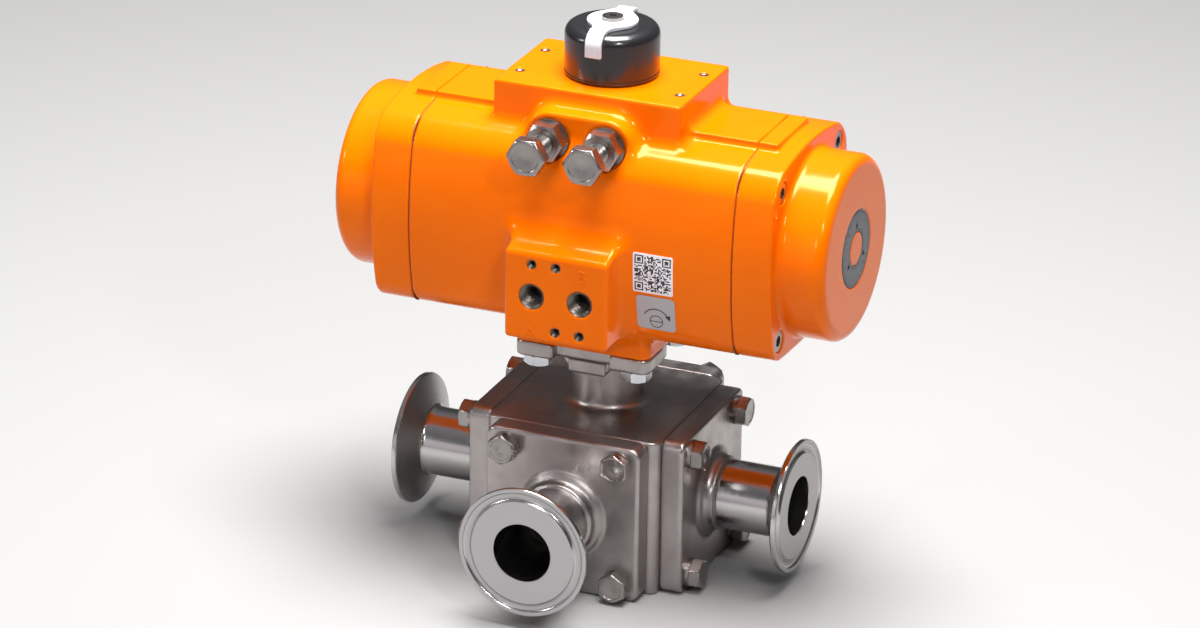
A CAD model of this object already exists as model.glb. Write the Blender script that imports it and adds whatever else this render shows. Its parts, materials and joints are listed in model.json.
"""Looks for the pneumatic ball valve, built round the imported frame. Shapes are worked out in millimetres."""
import json
import math

import bmesh
import bpy
import numpy as np
from mathutils import Matrix, Vector


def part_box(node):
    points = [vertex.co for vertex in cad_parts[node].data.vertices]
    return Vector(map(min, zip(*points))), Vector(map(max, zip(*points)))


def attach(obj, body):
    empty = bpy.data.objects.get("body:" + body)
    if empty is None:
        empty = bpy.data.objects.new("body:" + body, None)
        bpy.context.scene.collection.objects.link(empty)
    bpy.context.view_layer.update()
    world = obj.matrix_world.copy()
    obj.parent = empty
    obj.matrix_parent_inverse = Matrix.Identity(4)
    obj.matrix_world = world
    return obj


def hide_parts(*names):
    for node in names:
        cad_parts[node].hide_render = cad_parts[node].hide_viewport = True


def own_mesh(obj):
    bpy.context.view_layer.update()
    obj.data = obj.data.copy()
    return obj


MM = 0.001
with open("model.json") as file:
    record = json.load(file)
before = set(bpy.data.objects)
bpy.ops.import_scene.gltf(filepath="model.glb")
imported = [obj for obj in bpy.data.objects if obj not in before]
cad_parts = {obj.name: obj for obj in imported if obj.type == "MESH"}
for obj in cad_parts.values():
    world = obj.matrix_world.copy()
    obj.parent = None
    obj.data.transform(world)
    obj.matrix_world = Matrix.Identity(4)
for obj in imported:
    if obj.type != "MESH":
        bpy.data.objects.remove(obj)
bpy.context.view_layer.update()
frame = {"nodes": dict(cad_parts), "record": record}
scene = bpy.context.scene


def node_box(name):
    """A CAD node's lowest and highest corners, in millimetres."""
    low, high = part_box(name)
    return np.array(low) / MM, np.array(high) / MM


# ---------------------------------------------------------------- sizes, in millimetres, from the frame
barrel_low, barrel_high = node_box("actuator_body")
can_low, can_high = node_box("end_cap_right")
valve_low, valve_high = node_box("valve_body")
right_low, right_high = node_box("right_cap")

BARREL_HALF = barrel_high[0]
GASKET_FACE = can_low[0]
CAN_FACE = can_high[0]
TOP_FACE = barrel_high[2]
PLATE_TOP = barrel_low[2]
PAD_FACE = -barrel_low[1]
AXIS_HEIGHT = node_box("end_label_right")[0][2] + 18.3
BODY_HALF = valve_high[0]
CAP_HALF = right_high[1]
PORT_HEIGHT = CAP_HALF
BODY_TOP = 2 * CAP_HALF

# the actuator's outline about its cylinder's axis, and its top block, solenoid pad and stop-bolt boss
SIDE_BULGE, CROWN, BELLY = 51.0, 50.8, 48.0
CORNER_CENTRE, CORNER_RADIUS = 37.0, 9.5
RAIL_HALF, RAIL_BASE, RAIL_TOP, RAIL_END = 20.0, 40, 53.0, 90.5
CYLINDER_BORE = 41.5
TOP_HALF_X, TOP_HALF_Y, TOP_HOLE_X, TOP_HOLE_Y = 46.5, 31.0, 40, 15
PAD_HALF, PAD_BASE, PAD_BREAK, PAD_SLOPE = 25.6, 129.5, 173.0, 0.33
PORT_LINE, AIR_PORT_X, AIR_PORT_RADIUS, AIR_PORT_DEPTH = 151.5, 12.0, 5.9, 14.0
HOLE_RISE, TAPPED_HOLE, TAPPED_SLEEVE = 16, 2.3, 2.1
STOP_SPACING, STOP_HEIGHT, STOP_FACE, STOP_BOSS = 14.0, 221.0, 40.5, 12.6
NUT_RECESS, WASHER_RECESS, STOP_HOLE = 10.4, 7.0, 5.3

# the end caps and their screws
PARTING_EDGE = 0.4
FLANGE_FACE, CAN_RADIUS, CAN_ROUND, CAN_BORE = 100.0, 44.3, 5.0, 40.0
LABEL_OUTSIDE, LABEL_INSIDE = 18.7, 8.0
SCREW_PLACE, SCREW_HOLE, SCREW_CLEARANCE, SCREW_POCKET = 36.5, 3.2, 3.3, 5.25

# the valve body, its neck, collar and mounting plate
BODY_CORNER, COVER_OPENING = 5.0, 25.1
NECK_RADIUS, NECK_TAPER = 17.2, 1.2
COLLAR_REACH, COLLAR_WIDTH, COLLAR_BASE, COLLAR_TOP = 26.6, 9.3, 99.4, 110
WEB_REACH, WEB_SLOPE = 24.6, 0.75
PLATE_HALF, PLATE_CORNER, PLATE_BASE = 34.0, 4.8, 107.0
NOTCH_DEPTH, NOTCH_HALF = 6.0, 14.3
MOUNT_SPACING, MOUNT_HOLE, MOUNT_CLEARANCE = 24.75, 4.2, 4.4
CAP_FACE, CAP_SEAT, CAP_HOLE, CAP_CLEARANCE = 54.7, 33.2, 4.1, 4.4
BOLT_ACROSS, BOLT_RISE = 28.5, 30.5
PORT_BORE, WELD_X, BOSS_RADIUS, BOSS_FOOT, WELD_RADIUS = 14.25, 62.6, 17.9, 21.0, 16.4
BEAD_LINE, BEAD_WIDTH, BEAD_DEPTH = 28.0, 2.2, 1.6

# hexagon heads: the stop bolts, then the port-cap and mounting bolts
STOP_ACROSS, STOP_HEAD = 17.0, 6.4
BOLT_HEX, BOLT_HEAD, BOLT_SHANK = 13.0, 5.4, 3.95

CORNERS = [(x, y) for x in (-1, 1) for y in (-1, 1)]
SMALL_HOLES = [(-12, 1), (0, 1), (0, -1), (12, -1)]
CASTING_STEP = 0.8
SMALL_STEP = 0.35


# ---------------------------------------------------------------- solid shapes as distance fields
def axis_length(*parts):
    """Distance to where several faces meet, negative inside all of them."""
    return np.sqrt(sum(np.maximum(part, 0) ** 2 for part in parts)) + np.minimum(np.maximum.reduce(parts), 0)


def rounded(parts, radius):
    """Where several faces meet, with that outside radius. Each part is the distance to one face."""
    return axis_length(*[part + radius for part in parts]) - radius


def block(p, low, high, radius):
    """A box between two corners."""
    sides = []
    for axis in range(3):
        middle = (low[axis] + high[axis]) / 2
        half = (high[axis] - low[axis]) / 2
        sides.append(np.abs(p[axis] - middle) - half)
    return rounded(sides, radius)


def plate(p, axis, start, end, centre, half, corner, edge):
    """A square plate across one axis, with round corners and softened edges."""
    across = [i for i in range(3) if i != axis]
    flat = rounded([np.abs(p[i] - centre[i]) - half for i in across], corner)
    return rounded([flat, start - p[axis], p[axis] - end], edge)


def rod(p, axis, centre, radius, start, end, edge=0.3):
    """A cylinder along one axis."""
    across = [i for i in range(3) if i != axis]
    radial = np.sqrt(sum((p[i] - centre[i]) ** 2 for i in across)) - radius
    return rounded([radial, start - p[axis], p[axis] - end], edge)


def join(a, b, fillet):
    """Union with a concave fillet."""
    blend = np.maximum(fillet - np.abs(a - b), 0) / fillet
    return np.minimum(a, b) - blend * blend * fillet / 4


def take(a, b, edge=0.5):
    """Cut b out of a, leaving a softened edge."""
    return -join(-a, b, edge)


def drill(solid, p, axis, centre, radius, start, end, edge=0.5, floor_edge=0.3):
    """The solid with a round hole along one axis, with softened edges at its mouth and its floor."""
    return take(solid, rod(p, axis, centre, radius, start, end, floor_edge), edge)


def surface(name, field, low, high, step):
    """A mesh on the field's zero level: one point in every cell that the surface crosses, moved onto it."""
    low = np.array(low, float) - 2 * step
    counts = np.ceil((np.array(high, float) + 2 * step - low) / step).astype(int) + 1
    axes = [low[i] + step * np.arange(counts[i]) for i in range(3)]
    values = np.empty(counts, np.float32)
    for index in range(0, counts[0], 16):
        grid = np.meshgrid(axes[0][index:index + 16], axes[1], axes[2], indexing="ij")
        values[index:index + 16] = field(grid)
    inside = values < 0
    cells = tuple(count - 1 for count in counts)
    total = np.zeros(cells + (3,), np.float32)
    crossings = np.zeros(cells, np.float32)
    corner_range = [(dx, dy, dz) for dx in (0, 1) for dy in (0, 1) for dz in (0, 1)]
    for axis in range(3):
        for corner in corner_range:
            if corner[axis]:
                continue
            other = list(corner)
            other[axis] = 1
            first = tuple(slice(corner[i], corner[i] + cells[i]) for i in range(3))
            second = tuple(slice(other[i], other[i] + cells[i]) for i in range(3))
            a, b = values[first], values[second]
            crossed = inside[first] != inside[second]
            share = np.where(crossed, a / np.where(crossed, a - b, 1), 0)
            for i in range(3):
                spot = corner[i] + (share if i == axis else 0)
                total[..., i] += np.where(crossed, spot, 0)
            crossings += crossed
    active = crossings > 0
    index_of = np.full(cells, -1, np.int64)
    index_of[active] = np.arange(active.sum())
    base = np.argwhere(active)
    points = low + step * (base + total[active] / crossings[active][:, None])
    quads = []
    for axis in range(3):
        u, v = [i for i in range(3) if i != axis]
        first = [slice(1, cells[i]) for i in range(3)]
        first[axis] = slice(0, cells[axis])
        second = list(first)
        second[axis] = slice(1, cells[axis] + 1)
        here, there = inside[tuple(first)], inside[tuple(second)]
        for flip in (False, True):
            edge = np.argwhere((there & ~here) if flip else (here & ~there))
            offset = np.ones(3, int)
            offset[axis] = 0
            edge = edge + offset
            ring = []
            for du, dv in ((1, 1), (0, 1), (0, 0), (1, 0)):
                cell = edge.copy()
                cell[:, u] -= du
                cell[:, v] -= dv
                ring.append(index_of[cell[:, 0], cell[:, 1], cell[:, 2]])
            quad = np.stack(ring, axis=1)
            clockwise = flip != (axis == 1)
            quads.append(quad[:, ::-1] if clockwise else quad)
    faces = np.concatenate(quads)
    probe = step * 0.05
    for _ in range(2):
        p = [points[:, i] for i in range(3)]
        value = field(p)
        slope = np.empty_like(points)
        for i in range(3):
            ahead, behind = list(p), list(p)
            ahead[i] = p[i] + probe
            behind[i] = p[i] - probe
            slope[:, i] = (field(ahead) - field(behind)) / (2 * probe)
        length = np.maximum((slope ** 2).sum(1), 0.25)
        move = -(value / length)[:, None] * slope
        points = points + np.clip(move, -0.6 * step, 0.6 * step)
    return mesh_object(name, points * MM, faces)


def linked(name, data):
    """A new object in the scene."""
    made = bpy.data.objects.new(name, data)
    scene.collection.objects.link(made)
    return made


def mesh_object(name, points, faces):
    """A smooth-shaded object from points in metres and faces of equal length."""
    mesh = bpy.data.meshes.new(name)
    mesh.vertices.add(len(points))
    mesh.vertices.foreach_set("co", np.asarray(points, np.float32).ravel())
    mesh.loops.add(faces.size)
    mesh.loops.foreach_set("vertex_index", faces.ravel().astype(np.int32))
    mesh.polygons.add(len(faces))
    mesh.polygons.foreach_set("loop_start", np.arange(0, faces.size, faces.shape[1], dtype=np.int32))
    mesh.update(calc_edges=True)
    mesh.validate()
    mesh.shade_smooth()
    return linked(name, mesh)


# ---------------------------------------------------------------- castings
def side_distance(along, across, reach, rise):
    """Distance to a bulged side: an arc that stands out by rise over the corner centres' span."""
    radius = (CORNER_CENTRE ** 2 + rise ** 2) / (2 * rise)
    return np.sqrt((across - (reach - radius)) ** 2 + along ** 2) - radius


def barrel_section(y, z):
    """Distance to the barrel's outline about the cylinder axis."""
    corner_reach = CORNER_CENTRE + CORNER_RADIUS
    side = side_distance(z, np.abs(y), SIDE_BULGE, SIDE_BULGE - corner_reach)
    crown = side_distance(y, z, CROWN, CROWN - corner_reach)
    belly = side_distance(y, -z, BELLY, BELLY - corner_reach)
    return rounded([side, np.maximum(crown, belly)], CORNER_RADIUS)


def actuator_field(p):
    """The actuator's body: a bulged barrel with a rail, a top block, a foot, a pad and a boss."""
    x, y, z = p
    axis_z = z - AXIS_HEIGHT
    on_axis, upright = (0, 0, AXIS_HEIGHT), (0, 0, 0)
    barrel = rounded([barrel_section(y, axis_z), np.abs(x) - BARREL_HALF], PARTING_EDGE)
    rail = block(p, (-BARREL_HALF, -RAIL_HALF, AXIS_HEIGHT + RAIL_BASE),
                 (BARREL_HALF, RAIL_HALF, AXIS_HEIGHT + RAIL_TOP), 0.6)
    solid = join(barrel, rail, 2.4)
    top = rounded([np.abs(x) - TOP_HALF_X, np.abs(y) - TOP_HALF_Y, z - TOP_FACE, AXIS_HEIGHT + 30 - z], 1.1)
    solid = join(solid, top, 6.0)
    foot = plate(p, 2, PLATE_TOP, AXIS_HEIGHT - 34, upright, PLATE_HALF, PLATE_CORNER, 0.8)
    solid = join(solid, foot, 8.0)
    slope = (z - PAD_BREAK) - (PAD_FACE + y) * PAD_SLOPE
    pad = rounded([np.abs(x) - PAD_HALF, -PAD_FACE - y, y + 30, PAD_BASE - z, slope * 0.95], 2.0)
    solid = join(solid, pad, 10.0)
    stadium = np.sqrt(np.maximum(np.abs(x) - STOP_SPACING, 0) ** 2 + (z - STOP_HEIGHT) ** 2) - STOP_BOSS
    boss = rounded([stadium, -STOP_FACE - y, y + 18], 1.6)
    solid = join(solid, boss, 6.5)
    solid = drill(solid, p, 0, on_axis, CYLINDER_BORE, -90, 90)
    for radius, start, end, edge in ((25.0, AXIS_HEIGHT, 228.0, 0.5), (14.0, 220, 250, 0.4),
                                     (23.5, 120.5, AXIS_HEIGHT, 0.5), (20.6, 110, AXIS_HEIGHT, 0.5)):
        solid = drill(solid, p, 2, upright, radius, start, end, edge)
    for side in (-1, 1):
        solid = drill(solid, p, 1, (side * AIR_PORT_X, 0, PORT_LINE), AIR_PORT_RADIUS + 0.3,
                      -PAD_FACE - 2, -PAD_FACE + AIR_PORT_DEPTH, 0.6)
        line = (side * STOP_SPACING, 0, STOP_HEIGHT)
        solid = drill(solid, p, 1, line, NUT_RECESS, -50, -STOP_FACE + 0.5, 0.4)
        solid = drill(solid, p, 1, line, WASHER_RECESS, -50, -STOP_FACE + 2, 0.4)
        solid = drill(solid, p, 1, line, STOP_HOLE, -50, -10, 0.4)
    for hole_x, rise in SMALL_HOLES:
        solid = drill(solid, p, 1, (hole_x, 0, PORT_LINE + HOLE_RISE * rise), TAPPED_HOLE,
                      -PAD_FACE - 2, -PAD_FACE + 10)
    for sx, sy in CORNERS:
        solid = drill(solid, p, 2, (TOP_HOLE_X * sx, TOP_HOLE_Y * sy, 0), TAPPED_HOLE,
                      TOP_FACE - 10, TOP_FACE + 2)
        solid = drill(solid, p, 2, (MOUNT_SPACING * sx, MOUNT_SPACING * sy, 0), MOUNT_HOLE, 100, 129, 0.4)
        for start, end in ((62, 90), (-90, -62)):
            solid = drill(solid, p, 0, (0, SCREW_PLACE * sx, AXIS_HEIGHT + SCREW_PLACE * sy), SCREW_HOLE,
                          start, end, 0.4)
    return solid


def end_cap_field(p):
    """The right-hand end cap. The left one is its mirror image."""
    x, y, z = p
    on_axis = (0, 0, AXIS_HEIGHT)
    outline = rounded([barrel_section(y, z - AXIS_HEIGHT), x - FLANGE_FACE], 1.1)
    flange = rounded([outline, GASKET_FACE - x], PARTING_EDGE)
    rail = block(p, (GASKET_FACE, -RAIL_HALF, AXIS_HEIGHT + RAIL_BASE),
                 (RAIL_END, RAIL_HALF, AXIS_HEIGHT + RAIL_TOP), 0.6)
    solid = join(flange, rail, 2.2)
    can = rod(p, 0, on_axis, CAN_RADIUS, GASKET_FACE + 2, CAN_FACE, CAN_ROUND)
    solid = join(solid, can, 3.0)
    solid = drill(solid, p, 0, on_axis, CAN_BORE, GASKET_FACE - 5, 118.0)
    recess = np.maximum(rod(p, 0, on_axis, LABEL_OUTSIDE, CAN_FACE - 0.5, CAN_FACE + 2, 0.05),
                        -rod(p, 0, on_axis, LABEL_INSIDE, CAN_FACE - 4, CAN_FACE + 4, 0.05))
    solid = take(solid, recess, 0.3)
    for sy, sz in CORNERS:
        line = (0, SCREW_PLACE * sy, AXIS_HEIGHT + SCREW_PLACE * sz)
        solid = drill(solid, p, 0, line, SCREW_POCKET, 93.6, 110, 0.7)
        solid = drill(solid, p, 0, line, SCREW_CLEARANCE, 70, 110, 0.3)
    return solid


def valve_body_field(p):
    """The body block with its neck, the four-lugged collar and the mounting plate."""
    x, y, z = p
    upright = (0, 0, 0)
    solid = plate(p, 2, 0, BODY_TOP, upright, BODY_HALF, BODY_CORNER, 0.8)
    radial = np.sqrt(x * x + y * y)
    taper = np.clip((z - BODY_TOP - 4) / (COLLAR_BASE - BODY_TOP - 4), 0, 1)
    neck = np.maximum(radial - NECK_RADIUS + NECK_TAPER * taper, np.maximum(60 - z, z - COLLAR_TOP))
    solid = join(solid, neck, 5.0)
    collar = np.minimum(block(p, (-COLLAR_REACH, -COLLAR_WIDTH, COLLAR_BASE),
                              (COLLAR_REACH, COLLAR_WIDTH, COLLAR_TOP), 0.9),
                        block(p, (-COLLAR_WIDTH, -COLLAR_REACH, COLLAR_BASE),
                              (COLLAR_WIDTH, COLLAR_REACH, COLLAR_TOP), 0.9))
    for axis in (0, 1):
        slope = (np.abs(p[1 - axis]) - COLLAR_WIDTH - (z - COLLAR_BASE - 1) * WEB_SLOPE) * 0.8
        web = rounded([np.abs(p[axis]) - WEB_REACH, slope, COLLAR_BASE + 1 - z, z - COLLAR_TOP], 0.4)
        collar = np.minimum(collar, web)
    solid = join(solid, collar, 2.0)
    foot = plate(p, 2, PLATE_BASE, PLATE_TOP, upright, PLATE_HALF, PLATE_CORNER, 1.1)
    for axis in (0, 1):
        notch = rounded([PLATE_HALF - NOTCH_DEPTH - np.abs(p[axis]), np.abs(p[1 - axis]) - NOTCH_HALF], 1.5)
        foot = take(foot, notch, 1.5)
    solid = join(solid, foot, 1.6)
    for axis in (0, 1):
        solid = drill(solid, p, axis, (0, 0, PORT_HEIGHT), COVER_OPENING, -60, 60)
    for radius, start, end in ((12.1, PORT_HEIGHT, 67.6), (9.1, PORT_HEIGHT, 100), (13.0, 84.0, 120)):
        solid = drill(solid, p, 2, upright, radius, start, end, 0.2)
    for sx, sy in CORNERS:
        mount = (MOUNT_SPACING * sx, MOUNT_SPACING * sy, 0)
        solid = drill(solid, p, 2, mount, MOUNT_CLEARANCE, 100, 120, 0.4)
        line = (BOLT_ACROSS * sx, BOLT_ACROSS * sx, PORT_HEIGHT + BOLT_RISE * sy)
        for start, end in ((CAP_SEAT, 60), (-60, -CAP_SEAT)):
            for axis in (0, 1):
                solid = drill(solid, p, axis, line, CAP_HOLE, start, end, 0.4)
    return solid


def cap_field(blind):
    """A port cap drawn on +X, with or without its port."""
    def field(p):
        centre = (0, 0, PORT_HEIGHT)
        solid = plate(p, 0, BODY_HALF - 9, CAP_FACE, centre, CAP_HALF, BODY_CORNER, 1.7)
        solid = rounded([solid, BODY_HALF - p[0]], 0.6)
        if not blind:
            boss = rod(p, 0, centre, BOSS_RADIUS, 50, WELD_X - 0.9, 0.9)
            foot = rod(p, 0, centre, BOSS_FOOT, 50, CAP_FACE + 1.8, 1.6)
            solid = join(solid, join(boss, foot, 4.0), 2.5)
            weld = rod(p, 0, centre, WELD_RADIUS, 50, WELD_X, 0.2)
            solid = join(solid, weld, 0.6)
        spigot = rod(p, 0, centre, 25.0, BODY_HALF - 17.6, 50, 0.5)
        solid = np.minimum(solid, spigot)
        solid = take(solid, rod(p, 0, centre, 22.05, 20, 30, 0.1), 0.2)
        if not blind:
            solid = drill(solid, p, 0, centre, PORT_BORE, 10, 90, 0.2)
        gasket = np.maximum(rod(p, 0, centre, 30.0, BODY_HALF - 1, BODY_HALF + 1.5, 0.1),
                            -rod(p, 0, centre, 26.0, 30, 60, 0.1))
        solid = take(solid, gasket, 0.2)
        for sy, sz in CORNERS:
            line = (0, BOLT_ACROSS * sy, PORT_HEIGHT + BOLT_RISE * sz)
            solid = drill(solid, p, 0, line, CAP_CLEARANCE, 40, 70, 0.4)
        return solid
    return field


# ---------------------------------------------------------------- turned and fastener shapes
LARGE_FACE = 2e-6  # square metres
CHAMFER_SLOPE = 0.577  # 30 degrees


def lathe(name, profile, axis, centre, segments=144):
    """Sweep a closed loop of (along, radius) points round an axis that runs along +X, -X, -Y or +Z."""
    turns = {"x": Matrix.Identity(3), "-x": Matrix.Rotation(math.pi, 3, "Z"),
             "z": Matrix.Rotation(-math.pi / 2, 3, "Y"), "-y": Matrix.Rotation(-math.pi / 2, 3, "Z")}
    turn = np.array(turns[axis])
    angles = np.linspace(0, 2 * math.pi, segments, endpoint=False)
    rows = []
    for along, radius in profile:
        ring = [np.full(segments, along), radius * np.cos(angles), radius * np.sin(angles)]
        rows.append(np.stack(ring, axis=1))
    points = np.concatenate(rows) @ turn.T + np.array(centre)
    faces = []
    count = len(profile)
    for row in range(count):
        nxt = (row + 1) % count
        for i in range(segments):
            j = (i + 1) % segments
            faces.append((row * segments + i, row * segments + j, nxt * segments + j, nxt * segments + i))
    piece = mesh_object(name, points * MM, np.array(faces))
    tidy_normals(piece)
    return piece


def tidy_normals(piece, angle=34):
    """Weld doubled points, turn the faces outwards and mark sharp edges, sooner beside a large face."""
    mesh = bmesh.new()
    mesh.from_mesh(piece.data)
    bmesh.ops.remove_doubles(mesh, verts=mesh.verts, dist=1e-7)
    bmesh.ops.recalc_face_normals(mesh, faces=mesh.faces)
    for edge in mesh.edges:
        edge.smooth = len(edge.link_faces) != 2 or edge.calc_face_angle(0) < math.radians(angle)
        if edge.smooth and edge.calc_face_angle(0) > math.radians(angle / 2):
            edge.smooth = max(face.calc_area() for face in edge.link_faces) <= LARGE_FACE
    mesh.to_mesh(piece.data)
    mesh.free()
    piece.data.shade_smooth()
    return piece


def thread_profile(start, end, major, pitch, depth):
    """Profile points of an outside thread, drawn as rings."""
    points = []
    turns = int((end - start) / pitch)
    for index in range(turns):
        base = start + index * pitch
        points += [(base, major - depth), (base + 0.35 * pitch, major), (base + 0.5 * pitch, major),
                   (base + 0.85 * pitch, major - depth)]
    return points


def hex_bolts(name, across, height, shank, length, places):
    """Hexagon-head bolts in one mesh.

    A place is the middle of the bearing face, the outward axis and the direction of a flat.
    """
    offsets = np.radians([-28.6, -24, -18, -12, -6, 0, 6, 12, 18, 24, 28.6])  # points on one flat
    angles = np.concatenate([offsets + math.radians(60 * k) for k in range(6)])
    hexagon = np.tile(across / 2 / np.cos(offsets), 6)
    circle = np.ones_like(hexagon)
    chamfer_start = 0.475 * across

    def chamfered(radius):
        return height - np.maximum(radius - chamfer_start, 0) * CHAMFER_SLOPE

    rows = [(circle * 0.01, -length), (circle * (shank - 0.6), -length), (circle * shank, -length + 0.6),
            (circle * shank, 0.0), (hexagon - 0.25, 0.0), (hexagon, 0.2),
            (hexagon, chamfered(hexagon) - 0.15), (hexagon - 0.12, chamfered(hexagon - 0.12)),
            (circle * (chamfer_start + 0.05), height - 0.03),
            (circle * (chamfer_start - 0.1), height), (circle * across * 0.40, height),
            (circle * across * 0.38, height - 0.24), (circle * across * 0.365, height - 0.26),
            (circle * across * 0.16, height - 0.3), (circle * across * 0.13, height - 0.45),
            (circle * across * 0.05, height - 0.5), (circle * 0.01, height - 0.5)]
    local = np.concatenate([
        np.stack([r * np.cos(angles), r * np.sin(angles), np.broadcast_to(z, r.shape)], axis=1)
        for r, z in rows])
    count = len(angles)
    ring = np.arange(count)
    around = (ring + 1) % count
    sides = np.concatenate([np.stack([row * count + ring, row * count + around, (row + 1) * count + around,
                                      (row + 1) * count + ring], axis=1) for row in range(len(rows) - 1)])
    points, faces = [], []
    for centre, axis, flat in places:
        turn = np.array([flat, np.cross(axis, flat), axis])
        faces.append(sides + len(local) * len(points))
        points.append(local @ turn + np.array(centre))
    return tidy_normals(mesh_object(name, np.concatenate(points) * MM, np.concatenate(faces)))


# ---------------------------------------------------------------- materials
class Nodes:
    """A small builder for one material's node tree."""

    def __init__(self, name):
        """Start from a plain Principled material and its object coordinates."""
        self.material = bpy.data.materials.new(name)
        self.material.use_nodes = True
        self.tree = self.material.node_tree
        self.shader = self.tree.nodes["Principled BSDF"]
        self.coords = self.tree.nodes.new("ShaderNodeTexCoord").outputs["Object"]

    def add(self, kind, inputs=None, **settings):
        """A new node, with its inputs given by name or number."""
        made = self.tree.nodes.new("ShaderNode" + kind)
        for key, value in settings.items():
            setattr(made, key, value)
        for key, value in (inputs or {}).items():
            self.feed(made.inputs[key], value)
        return made

    def feed(self, socket, value):
        """Link a socket to another, or set its value."""
        if isinstance(value, bpy.types.NodeSocket):
            self.tree.links.new(value, socket)
        else:
            socket.default_value = value

    def set(self, **inputs):
        """Inputs of the shader, with _ for a space."""
        for key, value in inputs.items():
            self.feed(self.shader.inputs[key.replace("_", " ")], value)

    def noise(self, scale, detail=3.0, rough=0.55, vector=None):
        return self.add("TexNoise", {"Vector": vector or self.coords, "Scale": scale, "Detail": detail,
                                     "Roughness": rough}).outputs["Fac"]

    def ramp(self, value, low, high, start=0.0, end=1.0):
        """Map a value between two numbers or two colours."""
        if isinstance(low, (int, float)):
            return self.add("MapRange", {"Value": value, "From Min": start, "From Max": end, "To Min": low,
                                         "To Max": high}).outputs["Result"]
        share = self.ramp(value, 0.0, 1.0, start, end)
        mixed = self.add("Mix", data_type="RGBA")
        self.feed(mixed.inputs[0], share)
        self.feed(mixed.inputs[6], (*low, 1))
        self.feed(mixed.inputs[7], (*high, 1))
        return mixed.outputs[2]

    def bump(self, height, distance, after=None):
        """Relief of that depth in metres, on top of an earlier one."""
        made = self.add("Bump", {"Height": height, "Distance": distance, "Strength": 1.0})
        if after is not None:
            self.feed(made.inputs["Normal"], after)
        return made.outputs["Normal"]


def enamel():
    """Glossy orange paint with a fine orange peel over the casting's slow waves."""
    n = Nodes("amber_enamel")
    tone = n.noise(14.0, 4.0)
    n.set(Base_Color=n.ramp(tone, (0.80, 0.125, 0.0), (0.87, 0.148, 0.0), 0.3, 0.7), IOR=1.38)
    n.set(Roughness=n.ramp(n.noise(60.0), 0.12, 0.18), Specular_Tint=(1.0, 0.80, 0.30, 1.0))
    peel = n.bump(n.noise(420.0, 1.5), 0.000012)
    n.set(Normal=n.bump(n.noise(70.0, 2.0), 0.00005, peel))
    return n.material


def metal(name, low, high, rough, grain=900.0, depth=0.00001, swell=0.0):
    """Bare metal: a mottled tone and gloss, a fine grain and, with swell, the waves of a cast skin."""
    n = Nodes(name)
    n.set(Metallic=1.0, Base_Color=n.ramp(n.noise(38.0, 5.0), low, high, 0.3, 0.7))
    n.set(Roughness=n.ramp(n.noise(120.0, 4.0), *rough, 0.3, 0.7))
    normal = n.bump(n.noise(grain, 3.0, 0.7), depth)
    if swell:
        normal = n.bump(n.noise(90.0, 3.0), swell, normal)
    n.set(Normal=normal)
    return n.material


def turned_metal(name, axis, low, high, rough):
    """Bar stock with fine tool marks round the port's axis. Flat ends take the low tone and are rougher."""
    n = Nodes(name)
    flat_from, flat_to = 0.75, 0.95
    part = n.add("SeparateXYZ", {0: n.coords}).outputs
    across = n.add("Math", {0: part["Y" if axis == "x" else "X"]}, operation="ABSOLUTE").outputs[0]
    rise = n.add("Math", {0: part["Z"], 1: PORT_HEIGHT * MM}, operation="SUBTRACT").outputs[0]
    squares = [n.add("Math", {0: side, 1: 2.0}, operation="POWER").outputs[0] for side in (across, rise)]
    total = n.add("Math", {0: squares[0], 1: squares[1]}, operation="ADD").outputs[0]
    radius = n.add("Math", {0: total, 1: 0.5}, operation="POWER").outputs[0]
    lines = n.add("CombineXYZ", {"X": radius, "Y": part[axis.upper()]}).outputs[0]
    facing = n.add("SeparateXYZ", {0: n.add("NewGeometry").outputs["Normal"]}).outputs[axis.upper()]
    facing = n.add("Math", {0: facing}, operation="ABSOLUTE").outputs[0]
    marks = n.ramp(n.noise(900.0, 2.0, 0.5, lines), 0.0, 0.05, 0.35, 0.65)
    n.set(Metallic=1.0, Base_Color=n.ramp(facing, high, low, flat_from, flat_to))
    gloss = n.ramp(facing, *rough, flat_from, flat_to)
    n.set(Roughness=n.add("Math", {0: gloss, 1: marks}, operation="ADD").outputs[0])
    return n.material


def plastic(name, colour, rough, coat):
    """Moulded polymer, rubber or printed film, with a fine skin grain."""
    n = Nodes(name)
    dark = tuple(c * 0.9 for c in colour)
    n.set(Base_Color=n.ramp(n.noise(40.0, 4.0), dark, colour, 0.3, 0.7))
    n.set(Coat_Weight=coat, Coat_Roughness=0.15)
    n.set(Roughness=n.ramp(n.noise(200.0), *rough), Normal=n.bump(n.noise(1500.0, 2.0), 0.000008))
    return n.material


METALS = {
    "cast_stainless": ((0.33, 0.30, 0.29), (0.44, 0.405, 0.395), (0.28, 0.46), 520.0, 0.00006, 0.00005),
    "polished_stainless": ((0.48, 0.46, 0.44), (0.57, 0.55, 0.53), (0.14, 0.22), 2500.0, 0.000003),
    "bright_zinc": ((0.50, 0.51, 0.54), (0.64, 0.65, 0.68), (0.14, 0.24)),
    "stainless_fastener": ((0.28, 0.26, 0.25), (0.38, 0.355, 0.34), (0.24, 0.36), 1500.0, 0.000008, 0.00001),
    "piston_aluminium": ((0.70, 0.71, 0.72), (0.80, 0.80, 0.81), (0.3, 0.4)),
    "shaft_steel": ((0.40, 0.41, 0.42), (0.50, 0.51, 0.52), (0.25, 0.35)),
    "spring_steel": ((0.12, 0.12, 0.13), (0.20, 0.20, 0.22), (0.3, 0.45)),
    "thread_metal": ((0.15, 0.13, 0.11), (0.26, 0.23, 0.21), (0.34, 0.48)),
}
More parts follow.
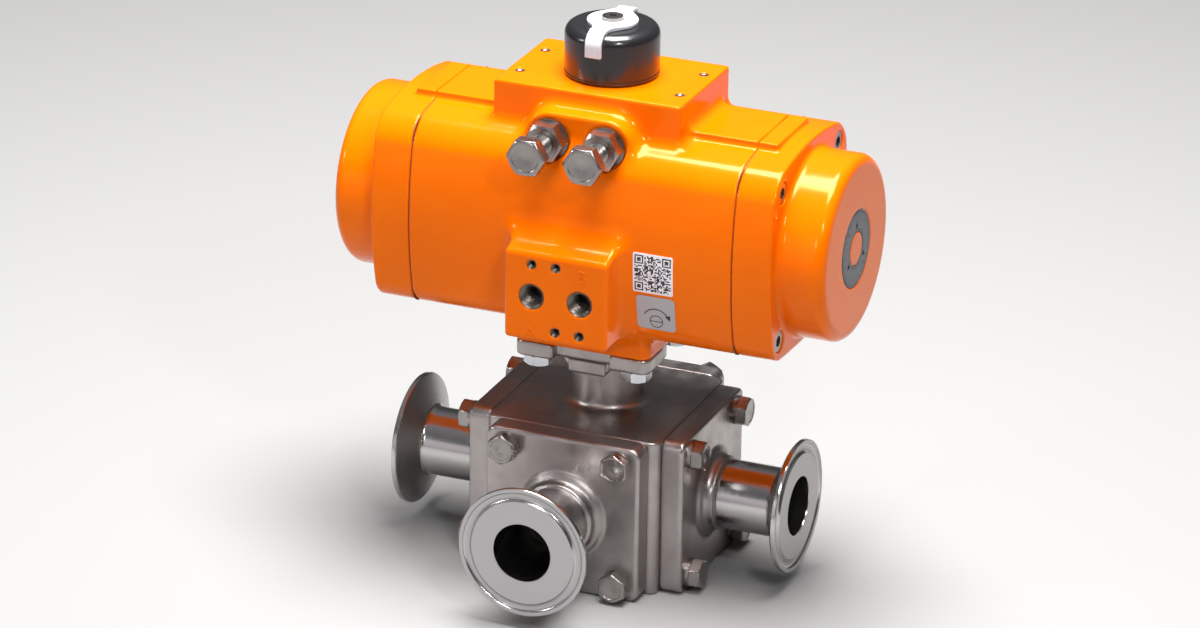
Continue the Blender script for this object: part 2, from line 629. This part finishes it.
PLASTICS = {
    "black_moulding": ((0.012, 0.012, 0.014), (0.22, 0.30), 0.35),
    "white_moulding": ((0.58, 0.58, 0.62), (0.3, 0.4), 0.25),
    "seat_polymer": ((0.80, 0.80, 0.76), (0.35, 0.5), 0.0),
    "seal_rubber": ((0.012, 0.012, 0.012), (0.5, 0.65), 0.0),
    "bush_polymer": ((0.66, 0.58, 0.38), (0.4, 0.5), 0.0),
    "gasket_sheet": ((0.20, 0.05, 0.008), (0.6, 0.8), 0.0),
    "ring_label": ((0.085, 0.09, 0.11), (0.35, 0.45), 0.1),
    "code_label": ((0.86, 0.84, 0.90), (0.35, 0.5), 0.1),
    "rotation_label": ((0.42, 0.40, 0.42), (0.3, 0.4), 0.1),
    "print_black": ((0.01, 0.01, 0.012), (0.4, 0.5), 0.0),
    "print_light": ((0.62, 0.63, 0.66), (0.4, 0.5), 0.0),
}
MATERIALS = {name: metal(name, *look) for name, look in METALS.items()}
MATERIALS.update((name, plastic(name, *look)) for name, look in PLASTICS.items())
MATERIALS["amber_enamel"] = enamel()
MATERIALS["turned_x"] = turned_metal("turned_x", "x", (0.42, 0.41, 0.40), (0.54, 0.53, 0.52), (0.17, 0.42))
MATERIALS["turned_y"] = turned_metal("turned_y", "y", (0.46, 0.45, 0.46), (0.54, 0.53, 0.52), (0.17, 0.36))


def fit(piece, body, material, replaces=()):
    """Finish a new piece: its material, the body it moves with and the CAD nodes it stands for."""
    piece.data.materials.clear()
    piece.data.materials.append(MATERIALS[material])
    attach(piece, body)
    if replaces:
        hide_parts(*replaces)


# ---------------------------------------------------------------- castings
def mirror_copy(piece, name):
    """The same mesh reflected in X, for the other end of the actuator."""
    mesh = piece.data.copy()
    mesh.transform(Matrix.Diagonal((-1, 1, 1, 1)))
    mesh.flip_normals()
    return linked(name, mesh)


def turned_copy(piece, name, degrees):
    """The same mesh turned about the vertical axis, for another side of the valve."""
    mesh = piece.data.copy()
    mesh.transform(Matrix.Rotation(math.radians(degrees), 4, "Z"))
    return linked(name, mesh)


def castings():
    """The actuator's body and end caps, the valve's body and its four caps."""
    body = surface("actuator_casting", actuator_field, barrel_low, barrel_high, CASTING_STEP)
    fit(body, "housing", "amber_enamel", ["actuator_body"])
    right = surface("end_cap_shell_right", end_cap_field, can_low, can_high, CASTING_STEP)
    left = mirror_copy(right, "end_cap_shell_left")
    fit(right, "housing", "amber_enamel", ["end_cap_right"])
    fit(left, "housing", "amber_enamel", ["end_cap_left"])
    valve_top = (BODY_HALF, BODY_HALF, node_box("mount_flange")[1][2])
    valve = surface("valve_casting", valve_body_field, valve_low, valve_top, CASTING_STEP)
    fit(valve, "housing", "cast_stainless", ["valve_body", "mount_flange"])
    ported = surface("port_cap_right", cap_field(False), right_low, right_high, CASTING_STEP)
    front = turned_copy(ported, "port_cap_front", -90)
    left_cap = turned_copy(ported, "port_cap_left", 180)
    blank = surface("blank_cap_x", cap_field(True), right_low, (CAP_FACE, CAP_HALF, BODY_TOP), CASTING_STEP)
    rear = turned_copy(blank, "blank_cap_rear", 90)
    bpy.data.objects.remove(blank)
    for side, piece in (("right", ported), ("front", front), ("left", left_cap), ("rear", rear)):
        fit(piece, "housing", "cast_stainless", [side + "_cap"])


def ferrules():
    """Clamp ferrules with their bead groove, turned from bar."""
    for side, axis in (("front", "-y"), ("left", "-x"), ("right", "x")):
        low, high = node_box(side + "_ferrule")
        reach = -low[1] if side == "front" else max(abs(low[0]), abs(high[0]))
        rim = reach - 2.6
        foot = rim - 5.6
        groove = []
        for degrees in range(80, -81, -20):
            angle = math.radians(degrees)
            groove.append((reach - BEAD_DEPTH * math.cos(angle), BEAD_LINE + BEAD_WIDTH * math.sin(angle)))
        neck = [(WELD_X, PORT_BORE), (WELD_X, 16.2), (WELD_X + 0.5, 16.7), (foot - 2.5, 16.7),
                (foot - 1.6, 16.8), (foot - 0.8, 17.15), (foot - 0.2, 17.75), (foot + 0.2, 18.5)]
        edge = [(rim - 0.3, 31.2), (rim + 0.1, 31.75), (rim + 0.5, 32.0), (reach - 0.5, 32.0),
                (reach - 0.12, 31.85), (reach, 31.5)]
        mouth = [(reach, 25.6), (reach, PORT_BORE + 0.5), (reach - 0.15, PORT_BORE + 0.12),
                 (reach - 0.5, PORT_BORE)]
        piece = lathe("clamp_ferrule_" + side, neck + edge + groove + mouth, axis, (0, 0, PORT_HEIGHT))
        material = "turned_y" if side == "front" else "turned_x"
        fit(piece, "housing", material, [side + "_ferrule", side + "_tube"])


# ---------------------------------------------------------------- stop bolts, ports and threads
def bolts():
    """The stop bolts with their threads, the port-cap bolts and the mounting bolts."""
    for side, name in ((-1, "left"), (1, "right")):
        low, high = node_box("stop_bolt_" + name)
        head_base, tip = -low[1] - STOP_HEAD, -high[1]
        head = hex_bolts("stop_bolt_head_" + name, STOP_ACROSS, STOP_HEAD, 4.6, 2.0,
                         [((side * STOP_SPACING, -head_base, STOP_HEIGHT), (0, -1, 0), (0, 0, 1))])
        thread = thread_profile(tip + 1.2, head_base - 0.6, 5.0, 1.5, 0.7)
        profile = [(head_base - 0.4, 0.01), (head_base - 0.4, 4.5), *reversed(thread),
                   (tip + 0.6, 4.2), (tip, 3.8), (tip, 0.01)]
        shank = lathe("stop_bolt_shank_" + name, profile, "-y", (side * STOP_SPACING, 0, STOP_HEIGHT), 56)
        fit(head, "stop_screw_" + name, "stainless_fastener", ["stop_bolt_" + name])
        fit(shank, "stop_screw_" + name, "stainless_fastener")
    outward = {"front": (0, -1, 0), "rear": (0, 1, 0), "left": (-1, 0, 0), "right": (1, 0, 0)}
    for side, axis in outward.items():
        high = node_box(side + "_cap_bolts")[1 if side in ("right", "rear") else 0]
        reach = max(abs(high[i] * axis[i]) for i in (0, 1)) - BOLT_HEAD
        flat = (axis[1], axis[0], 0)
        places = []
        for sx, sy in CORNERS:
            rise = np.array((0, 0, PORT_HEIGHT + sy * BOLT_RISE))
            centre = np.array(axis) * reach + np.array(flat) * sx * BOLT_ACROSS + rise
            places.append((centre, axis, flat))
        piece = hex_bolts(side + "_cap_bolt_set", BOLT_HEX, BOLT_HEAD, BOLT_SHANK, 19.0, places)
        fit(piece, "housing", "stainless_fastener", [side + "_cap_bolts"])
    low, high = node_box("mount_bolts")
    places = [((MOUNT_SPACING * sx, MOUNT_SPACING * sy, low[2] + BOLT_HEAD), (0, 0, -1), (1, 0, 0))
              for sx, sy in CORNERS]
    piece = hex_bolts("mount_bolt_set", BOLT_HEX, BOLT_HEAD, BOLT_SHANK, high[2] - low[2] - BOLT_HEAD, places)
    fit(piece, "housing", "bright_zinc", ["mount_bolts"])


def tapped_sleeve(name, radius, pitch, depth, centre, axis, face, mouth):
    """The bare metal of a tapped hole: a chamfered rim, thread ridges and a dark floor."""
    rings = []
    crest = radius - 0.5 * pitch
    for index in range(int(depth / pitch)):
        along = face - 0.35 - index * pitch
        rings += [(along, radius), (along - 0.42 * pitch, crest), (along - 0.55 * pitch, crest),
                  (along - 0.95 * pitch, radius)]
    outside = radius + mouth + 0.12
    profile = [(face + 0.02, outside), (face + 0.02, radius + mouth), (face - 0.3, radius + 0.05), *rings,
               (face - depth, radius), (face - depth, 0.01), (face - depth - 0.2, 0.01),
               (face - depth - 0.2, outside)]
    piece = tidy_normals(lathe(name, profile, axis, centre, 64), 40)
    fit(piece, "housing", "thread_metal")


def ports():
    """The threads in the air ports and in the small holes of the solenoid pad and the top face."""
    pitch = 0.8
    for side, mark in ((-1, "a"), (1, "b")):
        tapped_sleeve("air_port_thread_" + mark, AIR_PORT_RADIUS - 0.1, 1.8, AIR_PORT_DEPTH - 0.4,
                      (side * AIR_PORT_X, 0, PORT_LINE), "-y", PAD_FACE - 0.25, 0.2)
    for index, (hole_x, rise) in enumerate(SMALL_HOLES):
        tapped_sleeve(f"solenoid_thread_{index}", TAPPED_SLEEVE, pitch, 9.2,
                      (hole_x, 0, PORT_LINE + HOLE_RISE * rise), "-y", PAD_FACE - 0.3, 0.15)
    for index, (sx, sy) in enumerate(CORNERS):
        tapped_sleeve(f"accessory_thread_{index}", TAPPED_SLEEVE, pitch, 9.0,
                      (TOP_HOLE_X * sx, TOP_HOLE_Y * sy, 0), "z", TOP_FACE - 0.3, 0.15)


def port_marks():
    """Raised letters A and B beside the air ports, the usual generic port marks."""
    for letter, x, z in (("A", -12.6, PORT_LINE - 17.5), ("B", 13.2, PORT_LINE + 14.0)):
        curve = bpy.data.curves.new("port_mark_" + letter, "FONT")
        curve.body = letter
        curve.size = 8.2 * MM
        curve.extrude = 0.28 * MM
        curve.bevel_depth = 0.12 * MM
        curve.offset = -0.12 * MM
        curve.align_x = "CENTER"
        text = linked("port_mark_text", curve)
        text.rotation_euler = (math.pi / 2, 0, 0)
        text.location = (x * MM, -PAD_FACE * MM + 0.0001, z * MM - 0.0028)
        bpy.context.view_layer.update()
        mesh = bpy.data.meshes.new_from_object(text)
        mesh.transform(text.matrix_world)
        piece = linked("port_mark_" + letter.lower(), mesh)
        bpy.data.objects.remove(text)
        fit(piece, "housing", "amber_enamel")


# ---------------------------------------------------------------- labels
SIDE_RISE = SIDE_BULGE - CORNER_CENTRE - CORNER_RADIUS
SIDE_RADIUS = (CORNER_CENTRE ** 2 + SIDE_RISE ** 2) / (2 * SIDE_RISE)
LABEL_LIFT, PRINT_LIFT = 0.28, 0.3


def flat_mesh(name, points, faces, angle):
    """An object from lists of points in millimetres and quads, with its sharp edges marked."""
    return tidy_normals(mesh_object(name, np.array(points) * MM, np.array(faces)), angle)


def on_side(x, z, lift):
    """A point on the barrel's bulged front side, lifted off it."""
    centre_y = SIDE_RADIUS - SIDE_BULGE
    axis_z = z - AXIS_HEIGHT
    reach = SIDE_RADIUS + lift
    return x, centre_y - math.sqrt(reach * reach - axis_z * axis_z), z


def curved_sheet(name, low, high, corner):
    """A label with rounded corners that follows the barrel's side."""
    rows = 28
    points, faces = [], []
    for layer in (0.0, LABEL_LIFT):
        for i in range(rows + 1):
            z = low[1] + (high[1] - low[1]) * i / rows
            into = min(z - low[1], high[1] - z)
            inset = corner - math.sqrt(max(0, corner ** 2 - max(0, corner - into) ** 2))
            for x in (low[0] + inset, high[0] - inset):
                points.append(on_side(x, z, layer))
    half = 2 * (rows + 1)
    for i in range(rows):
        a = 2 * i
        faces.append((half + a, half + a + 1, half + a + 3, half + a + 2))
        faces.append((a, a + 2, a + 3, a + 1))
        faces.append((a, half + a, half + a + 2, a + 2))
        faces.append((a + 1, a + 3, half + a + 3, half + a + 1))
    faces.append((0, 1, half + 1, half))
    end = 2 * rows
    faces.append((end, half + end, half + end + 1, end + 1))
    return flat_mesh(name, points, faces, 50)


def side_walls(start):
    """The four walls of a tile whose eight points begin there."""
    return [(start + k, start + (k + 1) % 4, start + 4 + (k + 1) % 4, start + 4 + k) for k in range(4)]


def print_on_side(name, quads):
    """Printed marks: thin raised tiles that follow the barrel's side. A quad is four (x, z) corners."""
    points, faces = [], []
    for corners in quads:
        start = len(points)
        for height in (PRINT_LIFT - 0.02, PRINT_LIFT):
            points += [on_side(x, z, height) for x, z in corners]
        faces.append(tuple(start + 4 + k for k in range(4)))
        faces.append(tuple(start + k for k in (3, 2, 1, 0)))
        faces += side_walls(start)
    fit(flat_mesh(name, points, faces, 30), "housing", "print_black")


def stroke(path, width, step=1.2):
    """Quads along a path of (x, z) points."""
    quads = []
    for (x0, z0), (x1, z1) in zip(path, path[1:]):
        length = math.hypot(x1 - x0, z1 - z0)
        nx, nz = -(z1 - z0) / length * width / 2, (x1 - x0) / length * width / 2
        pieces = max(1, int(length / step))
        for k in range(pieces):
            a, b = k / pieces, (k + 1) / pieces
            xa, za, xb, zb = x0 + (x1 - x0) * a, z0 + (z1 - z0) * a, x0 + (x1 - x0) * b, z0 + (z1 - z0) * b
            quads.append([(xa + nx, za + nz), (xb + nx, zb + nz), (xb - nx, zb - nz), (xa - nx, za - nz)])
    return quads


def sheet_label(node, corner, material):
    """A flat label from its CAD node's box, with rounded corners."""
    low, high = node_box(node)
    sheet = curved_sheet(node + "_sheet", (low[0], low[2]), (high[0], high[2]), corner)
    fit(sheet, "housing", material, [node])
    return low, high


def labels():
    """The two labels on the barrel, with a meaningless square pattern and a plain turning arrow."""
    low, high = sheet_label("code_label", 0.5, "code_label")
    count, margin = 29, 0.9
    width, height = high[0] - low[0] - 2 * margin, high[2] - low[2] - 2 * margin
    cell = width / count
    random = np.random.default_rng(11)
    dark = random.random((count, count)) < 0.48
    finder = np.ones((7, 7), bool)
    finder[1:6, 1:6] = False
    finder[2:5, 2:5] = True
    for row, column in ((0, 0), (0, count - 7), (count - 7, 0)):
        dark[max(0, row - 1):row + 8, max(0, column - 1):column + 8] = False
        dark[row:row + 7, column:column + 7] = finder
    quads = []
    for row, column in np.argwhere(dark).tolist():
        x0 = low[0] + margin + column * cell
        z0 = high[2] - margin - (row + 1) * cell * height / width
        quads.append([(x0, z0), (x0 + cell, z0), (x0 + cell, z0 + cell), (x0, z0 + cell)])
    print_on_side("code_label_print", quads)

    low, high = sheet_label("rotation_label", 1.8, "rotation_label")
    centre_x, centre_z = (low[0] + high[0]) / 2, low[2] + 4.5

    def arc(radius, start, end, count):
        angles = np.linspace(start, end, count)
        return [(centre_x + radius * math.cos(a), centre_z + radius * math.sin(a)) for a in angles]

    sweep = arc(6.6, math.radians(150), math.radians(28), 18)
    tip_x, tip_z = sweep[-1]
    head = [(tip_x - 1.5, tip_z + 0.2), (tip_x + 1.3, tip_z + 1.1), (tip_x + 1.0, tip_z - 1.9),
            (tip_x + 1.0, tip_z - 1.9)]
    dial = 3.1
    quads = stroke(sweep, 0.55) + [head] + stroke(arc(dial, 0, 2 * math.pi, 25), 0.4)
    quads += stroke([(centre_x - dial, centre_z), (centre_x + dial, centre_z)], 0.4)
    print_on_side("rotation_label_print", quads)


def end_label_marks():
    """Generic printing on the grey ring labels: two fine rings, short ticks and three pointers."""
    for side, name in ((1, "right"), (-1, "left")):
        points, faces = [], []

        def tile(r0, r1, a0, a1):
            start = len(points)
            for depth in (0.0, -0.03):
                for r, a in ((r0, a0), (r1, a0), (r1, a1), (r0, a1)):
                    points.append((side * (CAN_FACE + depth), r * math.cos(a), AXIS_HEIGHT + r * math.sin(a)))
            faces.append(tuple(start + k for k in range(4)))
            faces.append(tuple(start + 4 + k for k in (3, 2, 1, 0)))
            faces.extend(side_walls(start))

        steps = 96
        for k in range(steps):
            a0, a1 = 2 * math.pi * k / steps, 2 * math.pi * (k + 1) / steps
            tile(17.3, 17.55, a0, a1)
            tile(9.3, 9.5, a0, a1)
            if k % 4 == 0:
                tile(14.6 if k % 12 else 13.4, 16.4, a0, a0 + 0.022)
        for k in range(3):
            middle = math.radians(90 + 120 * k)
            for row in range(6):
                spread = 0.02 * (6 - row)
                tile(10.6 + row * 0.4, 11.0 + row * 0.4, middle - spread, middle + spread)
        piece = flat_mesh("end_label_print_" + name, points, faces, 30)
        fit(piece, "housing", "print_light")


# ---------------------------------------------------------------- position indicator
CROWN_ROUND, HUB_RADIUS, ARM_HALF = 5.0, 12.0, 4.0


def indicator():
    """The black dome with its white pointer, whose arm folds down over the dome's edge."""
    low, high = node_box("indicator_cap")
    base, top, radius = low[2], high[2], high[0]
    crown_across, crown_height = radius - CROWN_ROUND, top - CROWN_ROUND
    crown = [(crown_height + CROWN_ROUND * math.sin(a), crown_across + CROWN_ROUND * math.cos(a))
             for a in np.linspace(0, math.pi / 2, 12)]
    skirt = [(base, radius - 1.7), (base, radius - 0.5), (base + 0.15, radius - 0.15), (base + 0.5, radius),
             (base + 1.6, radius), (base + 1.75, radius - 0.25), (base + 2.1, radius - 0.25),
             (base + 2.25, radius)]
    inside = [(top, 9.0), (top, 3.3), (top - 8, 3.3), (top - 8, 7.05), (248.0, 7.05), (248.0, radius - 1.9),
              (247.0, radius - 1.7)]
    dome = lathe("indicator_dome", skirt + crown + inside, "z", (0, 0, 0), 160)
    fit(dome, "shaft", "black_moulding", ["indicator_cap"])

    low, high = node_box("indicator_pointer")
    reach, peak = high[1], high[2]

    def pointer_field(p):
        x, y, z = p
        hub = rod(p, 2, (0, 0, 0), HUB_RADIUS, top, peak, 0.5)
        arm = rounded([np.abs(x) - ARM_HALF, np.abs(y) - reach + 0.05, top - 0.2 - z, z - peak], 0.5)
        flat = np.maximum(join(hub, arm, 5.0), np.maximum(top - z, z - peak))
        along = np.abs(y)
        bend = np.sqrt(np.maximum(along - crown_across, 0) ** 2 + np.maximum(z - crown_height, 0) ** 2)
        strap = rounded([np.abs(x) - ARM_HALF, bend - 6.9, 5.05 - bend, (peak - 12.0) - z], 0.35)
        outer = np.maximum(strap, crown_across - along - 0.5)
        solid = join(np.maximum(flat, along - crown_across - 0.3), outer, 1.0)
        solid = drill(solid, p, 2, (0, 0, 0), 5.2, peak - 1.0, peak + 3, 0.3, 0.1)
        return drill(solid, p, 2, (0, 0, 0), 3.2, top - 3, peak + 3, 0.2, 0.1)

    pointer = surface("indicator_strap", pointer_field, low, high, SMALL_STEP * 0.9)
    fit(pointer, "shaft", "white_moulding", ["indicator_pointer"])


def springs():
    """The coils shorten as the pistons move out."""
    for side, name in ((1, "right"), (-1, "left")):
        node = frame["nodes"]["return_springs_" + name]
        coils = linked("return_coils_" + name, node.data.copy())
        fit(coils, "housing", "spring_steel", ["return_springs_" + name])
        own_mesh(coils)


def carried_nodes():
    """Every CAD node that still shows gets the material of its slot."""
    slots = {part["node"]: part["material_slot"] for part in frame["record"]["subparts"]}
    for name, piece in frame["nodes"].items():
        if piece.hide_render:
            continue
        piece.data.materials.clear()
        piece.data.materials.append(MATERIALS[slots[name]])


# ---------------------------------------------------------------- studio
def studio():
    """A plain pale floor under a wide overhead softbox in a dim room, as for a catalogue shot."""
    world = bpy.data.worlds.new("studio")
    world.use_nodes = True
    tree = world.node_tree
    height = tree.nodes.new("ShaderNodeSeparateXYZ")
    tree.links.new(tree.nodes.new("ShaderNodeTexCoord").outputs["Generated"], height.inputs[0])
    blend = tree.nodes.new("ShaderNodeValToRGB")
    stops = blend.color_ramp.elements
    stops[0].position, stops[0].color = 0.45, (0.08, 0.08, 0.078, 1)
    stops[1].position, stops[1].color = 0.95, (0.30, 0.30, 0.33, 1)
    tree.links.new(height.outputs["Z"], blend.inputs[0])
    tree.links.new(blend.outputs[0], tree.nodes["Background"].inputs["Color"])
    scene.world = world
    scene.view_settings.view_transform = "Standard"

    mesh = bpy.data.meshes.new("floor")
    reach = 3
    corners = [(-reach, -reach, 0), (reach, -reach, 0), (reach, reach, 0), (-reach, reach, 0)]
    mesh.from_pydata(corners, [], [(0, 1, 2, 3)])
    floor = linked("floor", mesh)
    paint = Nodes("floor_paint")
    paint.set(Base_Color=(0.29, 0.29, 0.29, 1), Roughness=0.9)
    floor.data.materials.append(paint.material)

    def area(name, location, target, width, height, power, colour=(1, 1, 1)):
        light = bpy.data.lights.new(name, "AREA")
        light.shape = "RECTANGLE"
        light.size, light.size_y = width, height
        light.energy = power
        light.color = colour
        lamp = linked(name, light)
        lamp.location = location
        lamp.rotation_euler = (Vector(target) - Vector(location)).to_track_quat("-Z", "Y").to_euler()

    middle = (0, 0, 0.13)
    area("ceiling", (0.05, 0.05, 1.5), middle, 1.0, 0.7, 72.0, (1.0, 0.99, 0.97))
    area("right_front", (0.50, -0.62, 0.75), (0.05, 0, 0.18), 0.10, 0.10, 2.6)
    area("left_front", (-0.85, -0.55, 0.55), (-0.1, 0, 0.18), 0.14, 0.14, 1.8)
    area("front_fill", (-0.45, -1.3, 0.30), middle, 0.7, 0.5, 0.7, (1.0, 0.92, 0.99))
    area("flash", (-0.20, -1.6, 0.80), middle, 0.22, 0.22, 2.6, (1.0, 0.95, 0.97))


VIEW_AZIMUTH, VIEW_ELEVATION, VIEW_ROLL = math.radians(22.23), math.radians(22.59), math.radians(0.83)
VIEW_TARGET, VIEW_DISTANCE = Vector((-0.0150, 0.0263, 0.1077)), 2.7


def camera():
    """A long lens, almost level with the horizon."""
    right = Vector((math.cos(VIEW_AZIMUTH), math.sin(VIEW_AZIMUTH), 0))
    level = Vector((math.sin(VIEW_AZIMUTH), -math.cos(VIEW_AZIMUTH), 0))
    back = level * math.cos(VIEW_ELEVATION) + Vector((0, 0, math.sin(VIEW_ELEVATION)))
    up = back.cross(right)
    side = math.cos(VIEW_ROLL) * right + math.sin(VIEW_ROLL) * up
    above = math.cos(VIEW_ROLL) * up - math.sin(VIEW_ROLL) * right
    view = Matrix((side, above, back)).transposed().to_4x4()
    view.translation = VIEW_TARGET + VIEW_DISTANCE * back
    data = bpy.data.cameras.new("camera")
    data.lens = 169.3
    data.sensor_width = 36.0
    data.clip_end = 20.0
    made = linked("camera", data)
    made.matrix_world = view
    scene.camera = made


castings()
ferrules()
bolts()
ports()
port_marks()
labels()
end_label_marks()
indicator()
springs()
carried_nodes()
studio()
camera()
